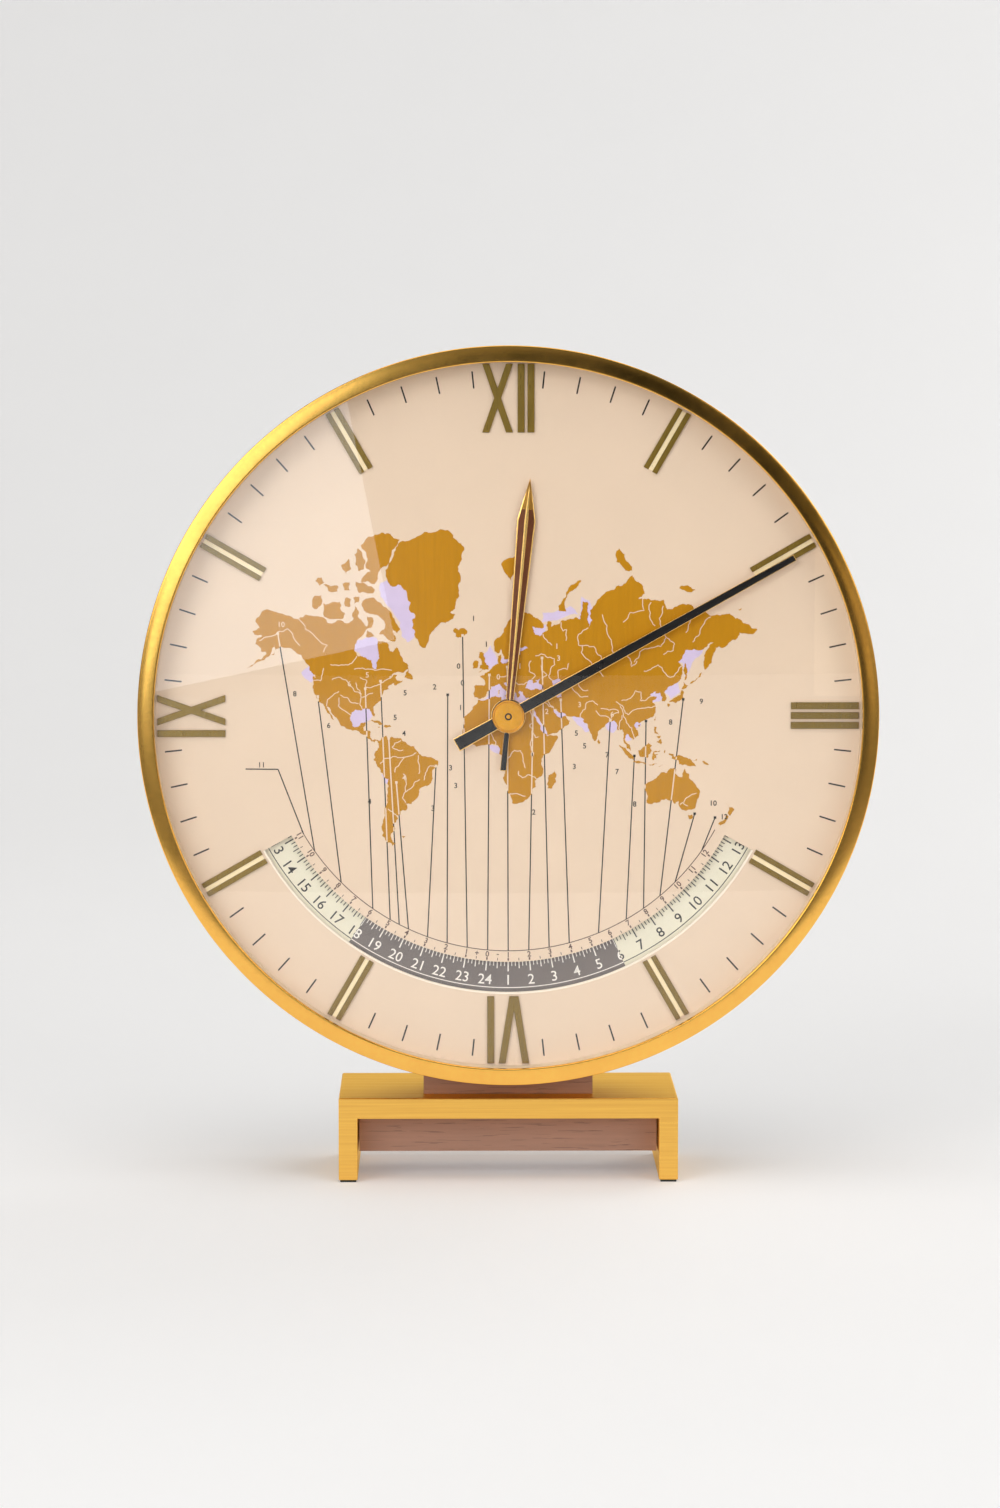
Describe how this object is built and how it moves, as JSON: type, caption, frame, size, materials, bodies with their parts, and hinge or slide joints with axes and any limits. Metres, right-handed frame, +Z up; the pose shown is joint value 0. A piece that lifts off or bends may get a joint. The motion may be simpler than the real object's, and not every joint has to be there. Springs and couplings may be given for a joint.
{
  "type": "world time clock",
  "caption": "Round brass table clock on a bridge stand, with a world map dial, baton hands and a turning day and night hour ring read through an arc window.",
  "frame": {"origin": "on the floor under the middle of the stand and of the clock's depth", "axes": "+X to the right seen from the front, +Y to the back, +Z up"},
  "size_m": [0.26, 0.069, 0.295],
  "materials": {
    "polished_brass": "polished",
    "felt": "napped",
    "walnut": "satin lacquer",
    "screw_steel": "turned",
    "clear_glass": "clear",
    "rim_cream": "satin",
    "drum_paint": "bronze lacquer",
    "cover_plastic": "fine grain",
    "door_plastic": "fine grain",
    "dial_paint": "cream matt",
    "marker_gilt": "satin gilt",
    "plate_brass": "brushed",
    "gear_brass": "cut",
    "gear_plastic": "natural acetal",
    "arbor_steel": "turned",
    "ring_paint": "painted day and night",
    "hand_enamel": "black with gilt edges",
    "cap_brass": "polished",
    "knob_plastic": "moulded",
    "movement_plastic": "moulded",
    "tray_plastic": "moulded",
    "cell_jacket": "printed steel",
    "contact_plate": "nickel plated"
  },
  "bodies": {
    "root": {"stand_bridge": "polished_brass", "foot_pads": "felt", "under_rail": "walnut", "saddle_block": "walnut", "stand_screw": "screw_steel", "clamp_nut": "screw_steel", "bezel_ring": "polished_brass", "glass": "clear_glass", "sight_ring": "rim_cream", "case_drum": "drum_paint", "back_cover": "cover_plastic", "cover_screws": "screw_steel", "dial_plate": "dial_paint", "dial_feet": "plate_brass", "baton_markers": "marker_gilt", "numeral_twelve": "marker_gilt", "numeral_three": "marker_gilt", "numeral_six": "marker_gilt", "numeral_nine": "marker_gilt", "mounting_plate": "plate_brass", "movement_posts": "plate_brass", "movement_base": "movement_plastic", "movement_lid": "movement_plastic", "battery_tray": "tray_plastic", "battery_cell": "cell_jacket", "battery_contacts": "contact_plate"},
    "battery_door": {"battery_door": "door_plastic"},
    "world_ring": {"world_ring": "ring_paint", "ring_wheel": "gear_plastic"},
    "minute_train": {"minute_arbor": "arbor_steel", "cannon_pinion": "arbor_steel", "minute_hand": "hand_enamel", "hand_cap": "cap_brass", "setting_knob": "knob_plastic"},
    "minute_wheel": {"minute_wheel": "gear_brass"},
    "hour_train": {"hour_pipe": "gear_brass", "hour_wheel": "gear_brass", "hour_hand": "hand_enamel"},
    "ring_idler": {"idler_wheel": "gear_brass", "idler_pinion": "arbor_steel"}
  },
  "joints": [
    {"name": "minute_turn", "type": "hinge", "parent": "root", "child": "minute_train", "pos_m": [0, 0, 0.165], "axis": [0, 1, 0], "continuous": true},
    {"name": "minute_wheel_turn", "type": "hinge", "parent": "root", "child": "minute_wheel", "pos_m": [0.012, 0, 0.165], "axis": [0, 1, 0], "continuous": true},
    {"name": "hour_turn", "type": "hinge", "parent": "root", "child": "hour_train", "pos_m": [0, 0, 0.165], "axis": [0, 1, 0], "continuous": true},
    {"name": "idler_turn", "type": "hinge", "parent": "root", "child": "ring_idler", "pos_m": [-0.015, 0, 0.165], "axis": [0, 1, 0], "continuous": true},
    {"name": "world_ring_turn", "type": "hinge", "parent": "root", "child": "world_ring", "pos_m": [0, 0, 0.165], "axis": [0, 1, 0], "continuous": true},
    {"name": "battery_door_slide", "type": "slide", "parent": "root", "child": "battery_door", "axis": [1, 0, 0], "range_m": [0, 0.045]}
  ],
  "couplings": [
    {"joint": "minute_wheel_turn", "follows": "minute_turn", "ratio": -0.33333},
    {"joint": "hour_turn", "follows": "minute_turn", "ratio": 0.083333},
    {"joint": "idler_turn", "follows": "minute_turn", "ratio": -0.041667},
    {"joint": "world_ring_turn", "follows": "minute_turn", "ratio": 0.013889}
  ]
}
